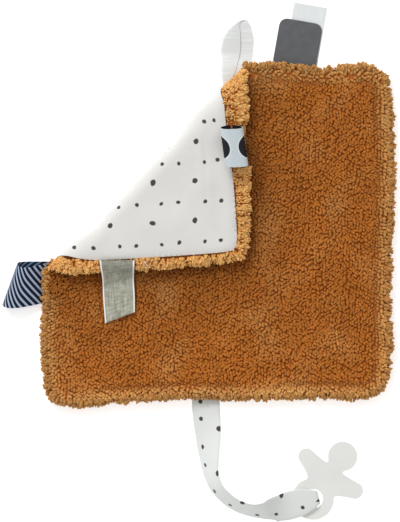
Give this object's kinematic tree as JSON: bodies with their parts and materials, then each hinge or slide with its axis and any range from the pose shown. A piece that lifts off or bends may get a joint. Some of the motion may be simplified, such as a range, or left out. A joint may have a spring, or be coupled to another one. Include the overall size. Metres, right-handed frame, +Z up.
{
  "type": "comfort blanket",
  "caption": "Square baby comfort blanket in teddy plush and dotted cotton, one corner folded over, with ribbon loops, a blank tag and a strap that holds a dummy-shaped card.",
  "frame": {"origin": "middle of the blanket on the underside of its cotton back, where it rests", "axes": "+Z up from the surface it lies on, +Y from the strap's edge towards the tag's edge, +X to the right"},
  "size_m": [0.2833, 0.373, 0.0293],
  "materials": {
    "caramel_plush": "curly teddy pile",
    "dotted_cotton": "off-white muslin with small dark dots",
    "brown_thread": "sewing thread",
    "dot_ribbon": "grosgrain with large dark dots",
    "grey_ribbon": "linen-look weave with white selvedges",
    "stripe_ribbon": "navy and pale blue diagonal stripes",
    "white_satin": "satin",
    "grey_tag": "matt soft tag",
    "white_patch": "hook and loop",
    "white_card": "satin board"
  },
  "bodies": {
    "blanket": {"base_plush_face": "caramel_plush", "base_cotton_back": "dotted_cotton", "base_seam_thread": "brown_thread"},
    "corner_flap": {"flap_plush_face": "caramel_plush", "flap_cotton_back": "dotted_cotton", "flap_seam_thread": "brown_thread"},
    "dot_ribbon": {"dot_ribbon_loop": "dot_ribbon"},
    "grey_ribbon": {"grey_ribbon_loop": "grey_ribbon"},
    "stripe_ribbon": {"stripe_ribbon_loop": "stripe_ribbon"},
    "satin_ribbon": {"white_satin_loop": "white_satin"},
    "label": {"care_label": "white_satin"},
    "tag": {"blank_tag": "grey_tag"},
    "dummy_strap": {"strap_tube": "dotted_cotton", "strap_loop_patch": "white_patch"},
    "strap_end": {"strap_tail": "dotted_cotton", "strap_hook_patch": "white_patch"},
    "card": {"dummy_card": "white_card"}
  },
  "joints": [
    {"name": "corner_fold", "type": "hinge", "parent": "blanket", "child": "corner_flap", "pos_m": [-0.05275, 0.04289, 0.00845], "axis": [-0.6824, -0.731, 0], "range_deg": [0, 180]},
    {"name": "dot_ribbon_lean", "type": "hinge", "parent": "corner_flap", "child": "dot_ribbon", "pos_m": [0.01114, 0.06358, 0.01785], "axis": [-0.0294, 0.9996, 0], "range_deg": [-22, 22]},
    {"name": "grey_ribbon_lift", "type": "hinge", "parent": "corner_flap", "child": "grey_ribbon", "pos_m": [-0.0715, -0.0192, 0.0187], "axis": [-1, 0, 0], "range_deg": [0, 150]},
    {"name": "stripe_ribbon_lift", "type": "hinge", "parent": "blanket", "child": "stripe_ribbon", "pos_m": [-0.1219, -0.03596, 0.0016], "axis": [0.1359, 0.9907, 0], "range_deg": [0, 32]},
    {"name": "satin_ribbon_lift", "type": "hinge", "parent": "blanket", "child": "satin_ribbon", "pos_m": [0.0145, 0.12051, 0.00165], "axis": [1, 0, 0], "range_deg": [0, 60]},
    {"name": "care_label_lift", "type": "hinge", "parent": "blanket", "child": "label", "pos_m": [0.05396, 0.11978, 0.0015], "axis": [0.9966, -0.082, 0], "range_deg": [0, 45]},
    {"name": "tag_lift", "type": "hinge", "parent": "label", "child": "tag", "pos_m": [0.05396, 0.11978, 0.0008], "axis": [0.9966, -0.082, 0], "range_deg": [0, 30]},
    {"name": "strap_lift", "type": "hinge", "parent": "blanket", "child": "dummy_strap", "pos_m": [-0.0085, -0.11781, 0.0019], "axis": [-1, 0, 0], "range_deg": [0, 70]},
    {"name": "strap_end_open", "type": "hinge", "parent": "dummy_strap", "child": "strap_end", "pos_m": [0.06897, -0.18965, 0.0001], "axis": [0.3256, -0.9455, 0], "range_deg": [0, 120]},
    {"name": "card_turn", "type": "hinge", "parent": "dummy_strap", "child": "card", "pos_m": [0.06838, -0.18981, 0.00282], "axis": [0.0251, 0.0356, 0.999], "range_deg": [-40, 40]}
  ]
}
